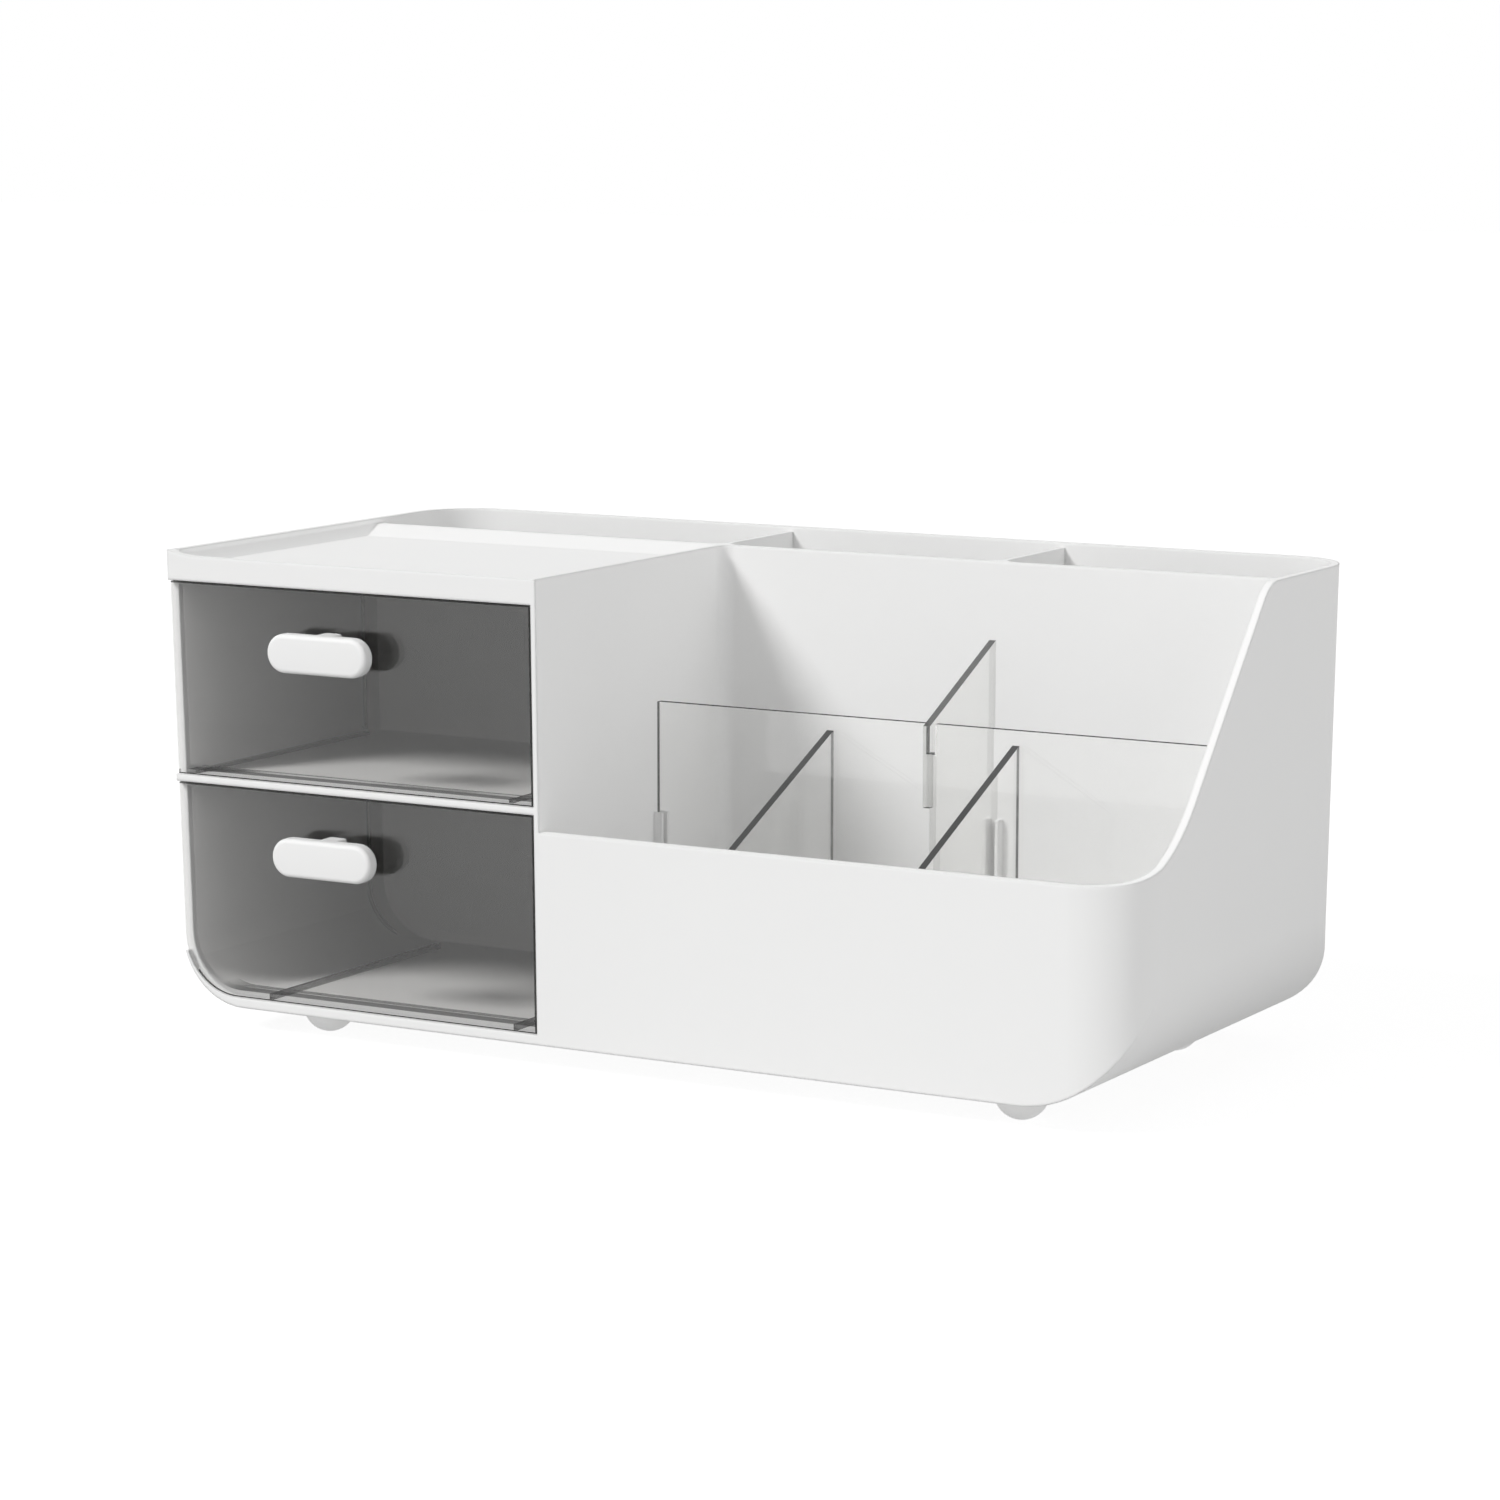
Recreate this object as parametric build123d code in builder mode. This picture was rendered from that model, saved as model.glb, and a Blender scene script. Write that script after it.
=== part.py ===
from build123d import *
from math import cos, radians, sin, tan
import os

# Overall sizes, in millimetres
body_width = 320.0
body_depth = 154.0
body_height = 138.0
draft = 1.0                # the outer walls lean inward towards the bottom, in degrees

# Mould wall sizes of the body
wall = 2.5
floor = 3.0
partition_wall = 2.2
tower_wall = 1.7
corner_radius = 21.0       # upright corners, all but the front left one
bottom_radius_left = 21.5
bottom_radius_right = 35.0
pocket_corner = 4.5        # upright corners inside the bin and the rear compartments
inner_drop = 1.6           # inner walls end this far below the outer wall's top

# Where the walls stand
tower_width = 130.2
rear_row_depth = 41.9      # clear depth of the rear compartments
shelf_height = 67.9
shelf_wall = 2.1
rim_height = 9.1

# Swept front of the bin's right wall
front_wall_height = 62.9
sweep_angle = 50.1
sweep_margin = 20.6        # top of the slope in front of the partition
sweep_low_radius = 52.0
sweep_high_radius = 12.0

# Tray on top of the tower
tray_depth = 2.9
tray_floor_wall = 2.2
tray_side_slope = 3.2
tray_rear_slope = 10.0
lip_dip_length = 12.0

# Drawers
panel = 2.5                # thickness of a drawer's front
panel_inset = 0.7          # left edge of a front stays this far inside the body's side
panel_corner = 18.3
panel_edge = 0.4           # broken outer edges of a front
drawer_corner = 2.0        # upright rear corners of a drawer box
lower_box_corner = 17.0    # lower left corner of the lower drawer box
drawer_wall = 1.4
drawer_rear_gap = 9.4      # between the drawer box and the partition
drawer_top_drop = 1.0      # box walls end this far below the top of the front
lower_floor_lift = 1.8     # underside of the box floor above the bottom of the front
upper_floor_lift = 1.2
runner_width = 1.3
lower_runners = (33.0, 120.0)
upper_runners = (7.0, 119.0)

# Handles and their screws
grip_width = 35.0
grip_height = 11.6
grip_thickness = 4.6
grip_gap = 5.0             # finger gap between the grip and the drawer's front
grip_front_edge = 1.2      # broken edge at the grip's front
grip_back_edge = 0.8       # broken edge at the grip's back
stem_width = 6.5
stem_height = 11.3
stem_corner = 1.0
grip_drop = 17.8           # centre of the grip below the top of the front
grip_shift = 5.3           # centre of the grip to the left of the tower's middle
screw_diameter = 3.0
screw_reach = 6.0          # thread length inside the stem
screw_head_diameter = 6.0
screw_head_height = 2.2
screw_head_edge = 0.8
screw_slot = 1.0
screw_slot_length = 3.6

# Dividers of the bin
divider = 2.2
rear_cell_depth = 37.7     # clear depth between the long divider and the partition
right_cell_extra = 5.3     # the right front cell is this much wider than the other two
long_divider_height = 93.0
front_divider_low = 59.7
front_divider_high = 88.7
rear_divider_low = 92.6
rear_divider_high = 113.0
hook_reach = 2.6           # hook of the rear divider in front of the long divider
hook_height = 24.0
lap_height = 84.0          # where the rear divider's bridge rests on the long divider
rail_width = 1.3
rail_depth = 2.6
rail_height = 59.5
front_rail_drop = 6.0      # rails on the front wall end this far below its top
floor_rail_height = 4.0

# Ball feet
foot_radius = 8.0
foot_height = 7.8
foot_peg_diameter = 6.0
foot_side = 43.4           # foot centres from the body's sides
foot_front = 19.8
foot_rear = 32.0           # centres of the rear feet from the body's back

# Clearances
slide_gap = 0.3            # between a moving piece and whatever it passes
bay_gap = 0.4              # between a drawer box and the walls of its bay
screw_gap = 0.1
peg_gap = 0.1
overlap = 0.02             # lets a cutting form pass cleanly through a face

# Levels and planes that follow from the sizes
lean = tan(radians(draft))
underside = foot_height
top = underside + body_height
inner_top = top - inner_drop
grip_reach = grip_gap + grip_thickness
upper_front_top = top - rim_height - slide_gap
lower_front_top = underside + shelf_height - slide_gap
lower_front_bottom = underside + floor + slide_gap
upper_front_bottom = underside + shelf_height + shelf_wall + slide_gap
upper_grip_level = upper_front_top - grip_drop
lower_grip_level = lower_front_top - grip_drop
front = (grip_reach - lean * (top - upper_grip_level) - body_depth) / 2
back = front + body_depth
middle_y = front + body_depth / 2
left = -body_width / 2
right = body_width / 2
partition_front = body_depth - wall - rear_row_depth - partition_wall
tower_right = left + tower_width
bay_right = tower_right - tower_wall
bay_back = front + partition_front
row_front = bay_back + partition_wall
row_middle = (tower_right + right - wall) / 2
drawer_back = bay_back - drawer_rear_gap
drawer_depth = drawer_back - front
panel_right = bay_right - slide_gap
grip_x = left + tower_width / 2 - grip_shift
long_back = bay_back - rear_cell_depth
long_front = long_back - divider
rail_top = underside + rail_height


def side_lean(level):
    # How far the leaning outer walls have moved inward at this level
    return lean * (top - level)


def front_plane(inward):
    # Plane of the leaning front face, moved inward, with its origin on the body's top edge
    outward = Vector(0, -cos(radians(draft)), -sin(radians(draft)))
    origin = Vector(0, front, top) - outward * inward
    return Plane(origin=origin, x_dir=(1, 0, 0), z_dir=outward)


def on_front(level):
    # Height of a level in sketches on the leaning front, which measure along the lean
    return (level - top) / cos(radians(draft))


def block(x_low, x_high, y_low, y_high, z_low, z_high, mode=Mode.ADD):
    # Box between two corners
    centre = ((x_low + x_high) / 2, (y_low + y_high) / 2, (z_low + z_high) / 2)
    with Locations(centre):
        Box(x_high - x_low, y_high - y_low, z_high - z_low, mode=mode)


def u_profile(inset, bottom, grow):
    # Front view of the body between its leaning sides, with the two rounded lower corners
    low_half = body_width / 2 - inset - side_lean(bottom) + grow
    high_half = body_width / 2 - inset + grow + lean
    Polygon((-low_half, bottom), (low_half, bottom), (high_half, top + 1), (-high_half, top + 1), align=None)


def round_low_corners(sketch, left_radius, right_radius):
    # Rounds the two lower corners of a front view
    low = sketch.vertices().group_by(Axis.Y)[0].sort_by(Axis.X)
    fillet(low[0], left_radius)
    low = sketch.vertices().group_by(Axis.Y)[0].sort_by(Axis.X)
    fillet(low[-1], right_radius)


def front_depth(face):
    # How far behind the leaning front face a face lies
    return front_plane(0).to_local_coords(face.center()).Z * -1


def upright_edges(piece, y):
    # Upright straight edges of a piece that stand at this depth
    edges = piece.edges().filter_by(lambda e: abs(e.tangent_at(0.5).Z) > 0.99)
    return edges.filter_by(lambda e: abs(e.center().Y - y) < 0.01)


# Dividers share the bin's floor between the tower and the right wall
bin_right = right - wall - side_lean(underside)
front_cell = (bin_right - tower_right - right_cell_extra - 2 * divider) / 3
front_divider_pitch = front_cell + divider
first_divider = tower_right + front_cell + divider / 2
front_divider_places = (first_divider, first_divider + front_divider_pitch)
rear_divider_x = (tower_right + bin_right) / 2

# Outer form of the body: drafted plan outline met by the rounded front view
with BuildPart() as outer_form:
    with BuildSketch(Plane.XY.offset(top)) as plan:
        with Locations((0, middle_y)):
            Rectangle(body_width, body_depth)
        soft = plan.vertices().filter_by(lambda v: v.X > 0 or v.Y > middle_y)
        fillet(soft, corner_radius)
    extrude(amount=body_height + 1, taper=draft)
    mirror(about=Plane.XY.offset(top), mode=Mode.REPLACE)
    with BuildSketch(Plane.XZ.offset(-back - 1)) as view:
        u_profile(0, underside, overlap)
        round_low_corners(view, bottom_radius_left, bottom_radius_right)
    extrude(amount=body_depth + 2, mode=Mode.INTERSECT)

# Hollow of the bin and of the rear row, with the walls and rails that stand in it left out
with BuildPart() as hollow:
    with BuildSketch(Plane.XY.offset(top)) as inner_plan:
        with Locations((0, middle_y)):
            Rectangle(body_width - 2 * wall, body_depth - 2 * wall)
        inner_soft = inner_plan.vertices().filter_by(lambda v: v.X > 0 or v.Y > middle_y)
        fillet(inner_soft, corner_radius - wall)
    extrude(amount=body_height, taper=draft)
    mirror(about=Plane.XY.offset(top), mode=Mode.REPLACE)
    with BuildSketch(Plane.XZ.offset(-back)) as inner_view:
        u_profile(wall, underside + floor, overlap)
        round_low_corners(inner_view, bottom_radius_left - wall, bottom_radius_right - wall)
    extrude(amount=body_depth, mode=Mode.INTERSECT)
    block(left, tower_right, front, row_front, underside, inner_top, Mode.SUBTRACT)
    block(tower_right - 1, right, bay_back, row_front, underside, inner_top, Mode.SUBTRACT)
    block(bay_right, tower_right, row_front - 1, back, underside, inner_top, Mode.SUBTRACT)
    block(row_middle - tower_wall / 2, row_middle + tower_wall / 2, row_front - 1, back, underside, inner_top,
          Mode.SUBTRACT)
    corners = upright_edges(hollow, bay_back) + upright_edges(hollow, row_front)
    fillet(corners, pocket_corner)
    for side in (-1, 1):
        near = divider / 2 + slide_gap
        offsets = sorted((side * near, side * (near + rail_width)))
        middle_l = long_front + divider / 2
        # Rails for the long divider, on the tower and on the right wall
        block(tower_right - 1, tower_right + rail_depth, middle_l + offsets[0], middle_l + offsets[1],
              underside, rail_top, Mode.SUBTRACT)
        rail_end = right - wall - side_lean(rail_top) - rail_depth
        block(rail_end, right, middle_l + offsets[0], middle_l + offsets[1], underside, rail_top,
              Mode.SUBTRACT)
        # Rails for the rear divider, on the partition
        block(rear_divider_x + offsets[0], rear_divider_x + offsets[1], bay_back - rail_depth, bay_back + 1,
              underside, rail_top, Mode.SUBTRACT)
        # Rails for the front dividers, on the front wall and along the floor
        for place in front_divider_places:
            rail_front_end = front + wall + side_lean(underside) + rail_depth
            block(place + offsets[0], place + offsets[1], front, rail_front_end, underside,
                  underside + front_wall_height - front_rail_drop, Mode.SUBTRACT)
            block(place + offsets[0], place + offsets[1], front, long_front - rail_depth, underside,
                  underside + floor + floor_rail_height, Mode.SUBTRACT)

# Body of the organizer
with BuildPart() as body:
    add(outer_form.part)
    add(hollow.part, mode=Mode.SUBTRACT)

    # Front wall of the bin and the sweep up the right wall
    sweep_run = (body_height - front_wall_height) / tan(radians(sweep_angle))
    sweep_end = bay_back - sweep_margin
    sweep_start = sweep_end - sweep_run
    sweep_past = front - sweep_low_radius
    with BuildSketch(Plane.YZ.offset(tower_right)) as sweep:
        Polygon((sweep_past, underside + front_wall_height),
                (sweep_start, underside + front_wall_height),
                (sweep_end, top + overlap),
                (bay_back, top + overlap),
                (bay_back, top + 5),
                (sweep_past, top + 5), align=None)
        bend = sweep.vertices().filter_by(lambda v: abs(v.X - sweep_start) < 0.01)
        fillet(bend, sweep_low_radius)
        crest = sweep.vertices().filter_by(lambda v: abs(v.X - sweep_end) < 0.01)
        fillet(crest, sweep_high_radius)
    extrude(amount=right - tower_right + 5, mode=Mode.SUBTRACT)

    # Lower and upper drawer bays
    bay_low = underside + floor
    bay_shelf = underside + shelf_height
    upper_low = bay_shelf + shelf_wall
    ceiling = inner_top - tray_depth - tray_floor_wall
    with BuildSketch(Plane.XZ.offset(-bay_back)) as lower_bay:
        Polygon((left + wall + side_lean(bay_low), bay_low), (bay_right, bay_low), (bay_right, bay_shelf),
                (left + wall + side_lean(bay_shelf), bay_shelf), align=None)
        low_left = lower_bay.vertices().group_by(Axis.Y)[0].sort_by(Axis.X)[0]
        fillet(low_left, bottom_radius_left - wall)
    extrude(amount=partition_front + 5, mode=Mode.SUBTRACT)
    with BuildSketch(Plane.XZ.offset(-bay_back)):
        Polygon((left + wall + side_lean(upper_low), upper_low), (bay_right, upper_low),
                (bay_right, ceiling), (left + wall + side_lean(ceiling), ceiling), align=None)
    extrude(amount=partition_front - wall - side_lean(ceiling), mode=Mode.SUBTRACT)

    # Seats in front of the left wall for the two drawer fronts
    seat = panel + slide_gap
    with BuildSketch(front_plane(seat)) as lower_seat:
        seat_left = left + panel_inset + side_lean(bay_low) - slide_gap
        Polygon((seat_left, on_front(bay_low)), (bay_right, on_front(bay_low)),
                (bay_right, on_front(bay_shelf)), (seat_left, on_front(bay_shelf)), align=None)
        seat_corner = lower_seat.vertices().group_by(Axis.Y)[0].sort_by(Axis.X)[0]
        fillet(seat_corner, panel_corner + slide_gap)
        shoulder = bay_low + panel_corner * 0.7
        Polygon((left - 2, on_front(shoulder)), (left + 2 * wall, on_front(shoulder)),
                (left + 2 * wall, on_front(bay_shelf)), (left - 2, on_front(bay_shelf)), align=None)
    extrude(amount=seat + 5, mode=Mode.SUBTRACT)
    with BuildSketch(front_plane(seat)):
        rim_bottom = on_front(top - rim_height)
        Polygon((left - 2, on_front(upper_low)), (bay_right, on_front(upper_low)), (bay_right, rim_bottom),
                (left - 2, rim_bottom), align=None)
    extrude(amount=seat + 5, mode=Mode.SUBTRACT)

    # Tray on the tower, with sloping sides
    tray_left = left + wall + side_lean(inner_top)
    tray_front = front + wall + side_lean(inner_top)
    with BuildSketch(Plane.XY.offset(inner_top)):
        with Locations(((tray_left + bay_right) / 2, (tray_front + bay_back) / 2)):
            Rectangle(bay_right - tray_left, bay_back - tray_front)
    with BuildSketch(Plane.XY.offset(inner_top - tray_depth)):
        with Locations(((tray_left + bay_right) / 2,
                        (tray_front + tray_side_slope + bay_back - tray_rear_slope) / 2)):
            Rectangle(bay_right - tray_left - 2 * tray_side_slope,
                      bay_back - tray_front - tray_side_slope - tray_rear_slope)
    loft(mode=Mode.SUBTRACT)

    # Front lip of the tray, dipping from the left side's full height
    with BuildSketch(Plane.XZ.offset(-tray_front - 1)):
        dip_radius = (lip_dip_length ** 2 + inner_drop ** 2) / (2 * inner_drop)
        dip_past = lip_dip_length + 2
        dip_rise = dip_radius - (dip_radius ** 2 - dip_past ** 2) ** 0.5
        with BuildLine():
            dip = TangentArc((left + lip_dip_length, inner_top), (left - 2, inner_top + dip_rise),
                             tangent=(-1, 0))
            Polyline(dip @ 1, (left - 2, top + 5), (tower_right, top + 5), (tower_right, inner_top), dip @ 0)
        make_face()
    extrude(amount=wall + 6, mode=Mode.SUBTRACT)

    # Holes through the floor for the pegs of the feet
    with BuildSketch(Plane.XY.offset(underside - 1)):
        for x in (left + foot_side, right - foot_side):
            for y in (front + foot_front, back - foot_rear):
                with Locations((x, y)):
                    Circle(foot_peg_diameter / 2 + peg_gap)
    extrude(amount=floor + 2, mode=Mode.SUBTRACT)

# Upper drawer: box with leaning left wall, runners under its floor, and the front over it
with BuildPart() as upper_drawer:
    box_bottom = upper_front_bottom + upper_floor_lift
    box_top = upper_front_top - drawer_top_drop
    box_floor = box_bottom + drawer_wall
    box_left = left + wall + bay_gap
    with BuildSketch(Plane.XZ.offset(-drawer_back)):
        Polygon((box_left + side_lean(box_bottom), box_bottom), (panel_right, box_bottom),
                (panel_right, box_top), (box_left + side_lean(box_top), box_top), align=None)
    extrude(amount=drawer_depth - panel / 2 - side_lean((box_bottom + box_top) / 2))
    fillet(upright_edges(upper_drawer, drawer_back), drawer_corner)
    for place in upper_runners:
        x = left + place
        block(x - runner_width / 2, x + runner_width / 2, front + 2 * panel, drawer_back - drawer_corner,
              upper_front_bottom, box_bottom + drawer_wall / 2)
    inner_left = box_left + drawer_wall
    with BuildSketch(Plane.XZ.offset(-drawer_back + drawer_wall)):
        Polygon((inner_left + side_lean(box_floor), box_floor), (panel_right - drawer_wall, box_floor),
                (panel_right - drawer_wall, box_top + 1), (inner_left + side_lean(box_top + 1), box_top + 1),
                align=None)
    extrude(amount=drawer_depth, mode=Mode.SUBTRACT)
    fillet(upright_edges(upper_drawer, drawer_back - drawer_wall), drawer_corner - drawer_wall)
    with BuildSketch(front_plane(panel)):
        Polygon((left + panel_inset + side_lean(upper_front_bottom), on_front(upper_front_bottom)),
                (panel_right, on_front(upper_front_bottom)), (panel_right, on_front(upper_front_top)),
                (left + panel_inset + side_lean(upper_front_top), on_front(upper_front_top)), align=None)
    extrude(amount=panel)
    chamfer(upper_drawer.faces().sort_by(front_depth)[0].edges(), panel_edge)
    with BuildSketch(front_plane(panel)):
        with Locations((grip_x, on_front(upper_grip_level))):
            Circle(screw_diameter / 2 + screw_gap)
    extrude(amount=panel, mode=Mode.SUBTRACT)

# Lower drawer: the same build, with the lower left corner rounded like the body's
with BuildPart() as lower_drawer:
    low_bottom = lower_front_bottom + lower_floor_lift
    low_top = lower_front_top - drawer_top_drop
    low_floor = low_bottom + drawer_wall
    with BuildSketch(Plane.XZ.offset(-drawer_back)) as low_outline:
        Polygon((box_left + side_lean(low_bottom), low_bottom), (panel_right, low_bottom),
                (panel_right, low_top), (box_left + side_lean(low_top), low_top), align=None)
        fillet(low_outline.vertices().group_by(Axis.Y)[0].sort_by(Axis.X)[0], lower_box_corner)
    extrude(amount=drawer_depth - panel / 2 - side_lean((low_bottom + low_top) / 2))
    fillet(upright_edges(lower_drawer, drawer_back), drawer_corner)
    for place in lower_runners:
        x = left + place
        block(x - runner_width / 2, x + runner_width / 2, front + 2 * panel, drawer_back - drawer_corner,
              lower_front_bottom, low_bottom + drawer_wall / 2)
    with BuildSketch(Plane.XZ.offset(-drawer_back + drawer_wall)) as low_hollow:
        Polygon((inner_left + side_lean(low_floor), low_floor), (panel_right - drawer_wall, low_floor),
                (panel_right - drawer_wall, low_top + 1), (inner_left + side_lean(low_top + 1), low_top + 1),
                align=None)
        fillet(low_hollow.vertices().group_by(Axis.Y)[0].sort_by(Axis.X)[0], lower_box_corner - drawer_wall)
    extrude(amount=drawer_depth, mode=Mode.SUBTRACT)
    fillet(upright_edges(lower_drawer, drawer_back - drawer_wall), drawer_corner - drawer_wall)
    with BuildSketch(front_plane(panel)) as low_panel:
        Polygon((left + panel_inset + side_lean(lower_front_bottom), on_front(lower_front_bottom)),
                (panel_right, on_front(lower_front_bottom)), (panel_right, on_front(lower_front_top)),
                (left + panel_inset + side_lean(lower_front_top), on_front(lower_front_top)), align=None)
        fillet(low_panel.vertices().group_by(Axis.Y)[0].sort_by(Axis.X)[0], panel_corner)
    extrude(amount=panel)
    chamfer(lower_drawer.faces().sort_by(front_depth)[0].edges(), panel_edge)
    with BuildSketch(front_plane(panel)):
        with Locations((grip_x, on_front(lower_grip_level))):
            Circle(screw_diameter / 2 + screw_gap)
    extrude(amount=panel, mode=Mode.SUBTRACT)

# Upper handle: pill grip on a flat stem, drilled for its screw
with BuildPart() as upper_handle:
    with BuildSketch(front_plane(-grip_gap)):
        with Locations((grip_x, on_front(upper_grip_level))):
            SlotOverall(grip_width, grip_height)
    extrude(amount=grip_thickness)
    chamfer(upper_handle.faces().sort_by(front_depth)[0].edges(), grip_front_edge)
    chamfer(upper_handle.faces().sort_by(front_depth)[-1].edges(), grip_back_edge)
    with BuildSketch(front_plane(0)):
        with Locations((grip_x, on_front(upper_grip_level))):
            RectangleRounded(stem_width, stem_height, stem_corner)
    extrude(amount=grip_gap + grip_thickness / 2)
    with BuildSketch(front_plane(0)):
        with Locations((grip_x, on_front(upper_grip_level))):
            Circle(screw_diameter / 2 + screw_gap)
    extrude(amount=screw_reach + 1, mode=Mode.SUBTRACT)

# Screw of the upper handle, driven from inside the drawer
with BuildPart() as upper_handle_screw:
    with BuildSketch(front_plane(panel)):
        with Locations((grip_x, on_front(upper_grip_level))):
            Circle(screw_head_diameter / 2)
    extrude(amount=-screw_head_height)
    chamfer(upper_handle_screw.faces().sort_by(front_depth)[-1].edges(), screw_head_edge)
    with BuildSketch(front_plane(panel + screw_head_height)):
        with Locations((grip_x, on_front(upper_grip_level))):
            Rectangle(screw_slot, screw_slot_length)
            Rectangle(screw_slot_length, screw_slot)
    extrude(amount=screw_head_height / 2, mode=Mode.SUBTRACT)
    with BuildSketch(front_plane(panel)):
        with Locations((grip_x, on_front(upper_grip_level))):
            Circle(screw_diameter / 2)
    extrude(amount=panel + screw_reach)

# The lower handle and its screw are the same pieces further down the leaning front
grip_step = upper_grip_level - lower_grip_level
down_the_front = Location((0, lean * grip_step, -grip_step))
with BuildPart() as lower_handle:
    add(upper_handle.part.moved(down_the_front))
with BuildPart() as lower_handle_screw:
    add(upper_handle_screw.part.moved(down_the_front))

# Long divider across the bin, notched for the rear divider
with BuildPart() as long_divider:
    plate_bottom = underside + floor + slide_gap
    plate_top = underside + long_divider_height
    plate_right = right - wall - slide_gap
    with BuildSketch(Plane.XZ.offset(-long_back)) as plate:
        plate_left = tower_right + slide_gap
        Polygon((plate_left, plate_bottom), (plate_right - side_lean(plate_bottom), plate_bottom),
                (plate_right - side_lean(plate_top), plate_top), (plate_left, plate_top), align=None)
        low_right = plate.vertices().group_by(Axis.Y)[0].sort_by(Axis.X)[-1]
        fillet(low_right, bottom_radius_right - wall - slide_gap)
        with Locations((rear_divider_x, plate_top)):
            Rectangle(divider + 2 * slide_gap, 2 * (plate_top - underside - lap_height), mode=Mode.SUBTRACT)
    extrude(amount=divider)

# Rear divider, bridging the long divider's notch and hooked in front of it
with BuildPart() as rear_divider:
    with BuildSketch(Plane.YZ.offset(rear_divider_x)) as rear_plate:
        hook_front = long_front - hook_reach
        hook_top = underside + rear_divider_low
        hook_bottom = hook_top - hook_height
        bridge_bottom = underside + lap_height + slide_gap
        plate_back = bay_back - slide_gap
        Polygon((hook_front, hook_bottom), (long_front - slide_gap, hook_bottom),
                (long_front - slide_gap, bridge_bottom), (long_back + slide_gap, bridge_bottom),
                (long_back + slide_gap, plate_bottom), (plate_back, plate_bottom),
                (plate_back, underside + rear_divider_high), (hook_front, hook_top), align=None)
        fillet(rear_plate.vertices().group_by(Axis.Y)[0].sort_by(Axis.X)[-1], pocket_corner - slide_gap)
    extrude(amount=divider / 2, both=True)

# Left front divider, and the right one as the same plate further along
with BuildPart() as left_front_divider:
    with BuildSketch(Plane.YZ.offset(front_divider_places[0])):
        plate_low = underside + front_divider_low
        plate_front = front + wall + slide_gap
        Polygon((plate_front + side_lean(plate_bottom), plate_bottom), (long_front - slide_gap, plate_bottom),
                (long_front - slide_gap, underside + front_divider_high),
                (plate_front + side_lean(plate_low), plate_low), align=None)
    extrude(amount=divider / 2, both=True)
along_the_bin = Location((front_divider_pitch, 0, 0))
with BuildPart() as right_front_divider:
    add(left_front_divider.part.moved(along_the_bin))

# Pair of front ball feet, each with the peg that goes through the floor, and the same pair at the back
with BuildPart() as front_feet:
    for x in (left + foot_side, right - foot_side):
        with Locations((x, front + foot_front, underside)):
            Sphere(foot_radius, arc_size1=-90, arc_size2=0, align=(Align.CENTER, Align.CENTER, Align.MAX))
            Cylinder(foot_peg_diameter / 2, floor - peg_gap, align=(Align.CENTER, Align.CENTER, Align.MIN))
    block(left, right, front, back, -foot_radius, 0, Mode.SUBTRACT)
to_the_back = Location((0, body_depth - foot_front - foot_rear, 0))
with BuildPart() as rear_feet:
    add(front_feet.part.moved(to_the_back))

# One file for each piece
pieces = {
    "body": body,
    "upper_drawer": upper_drawer,
    "lower_drawer": lower_drawer,
    "upper_handle": upper_handle,
    "lower_handle": lower_handle,
    "upper_handle_screw": upper_handle_screw,
    "lower_handle_screw": lower_handle_screw,
    "long_divider": long_divider,
    "rear_divider": rear_divider,
    "left_front_divider": left_front_divider,
    "right_front_divider": right_front_divider,
    "front_feet": front_feet,
    "rear_feet": rear_feet,
}
os.makedirs("parts", exist_ok=True)
for name, piece in pieces.items():
    piece.part.label = name
    export_step(piece.part, "parts/" + name + ".step")
    size = piece.part.bounding_box().size
    print(name, "size", round(size.X, 1), round(size.Y, 1), round(size.Z, 1))
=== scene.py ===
# %% [markdown]
# # Desk organizer with two clear drawers
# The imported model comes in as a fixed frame: every piece of the organizer is already there, in metres,
# with its feet on the plane z = 0. This lesson gives each piece its finish, remakes the two grips with
# soft edges, and sets up the camera, the floor and the light.

# %% Load the frame
from math import cos, pi, radians, sin

import bpy
from mathutils import Matrix, Vector


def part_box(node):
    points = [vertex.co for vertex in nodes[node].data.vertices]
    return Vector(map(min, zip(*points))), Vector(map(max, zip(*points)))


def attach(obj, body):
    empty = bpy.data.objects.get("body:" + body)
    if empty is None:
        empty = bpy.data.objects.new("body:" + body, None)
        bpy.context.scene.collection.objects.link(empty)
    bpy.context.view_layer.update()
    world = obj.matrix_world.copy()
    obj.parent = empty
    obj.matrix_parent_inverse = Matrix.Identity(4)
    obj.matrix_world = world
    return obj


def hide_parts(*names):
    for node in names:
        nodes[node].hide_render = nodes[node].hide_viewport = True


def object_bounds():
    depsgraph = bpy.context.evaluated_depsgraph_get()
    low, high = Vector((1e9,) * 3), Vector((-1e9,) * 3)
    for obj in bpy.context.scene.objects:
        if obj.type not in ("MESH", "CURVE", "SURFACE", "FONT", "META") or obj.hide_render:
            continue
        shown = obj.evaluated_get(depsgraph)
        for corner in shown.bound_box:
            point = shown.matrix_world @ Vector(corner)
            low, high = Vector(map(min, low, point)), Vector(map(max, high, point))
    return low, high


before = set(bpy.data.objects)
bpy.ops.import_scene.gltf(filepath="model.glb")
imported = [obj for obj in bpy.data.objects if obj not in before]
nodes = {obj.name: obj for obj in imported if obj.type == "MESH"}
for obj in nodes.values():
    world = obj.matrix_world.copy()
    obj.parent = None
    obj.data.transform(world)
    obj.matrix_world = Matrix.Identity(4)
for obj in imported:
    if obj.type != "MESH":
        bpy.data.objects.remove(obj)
cad_low, cad_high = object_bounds()


def in_mm(lengths):
    return [round(length * 1000, 2) for length in lengths]


print("nodes", len(nodes), "size in mm", in_mm(cad_high - cad_low))

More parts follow.
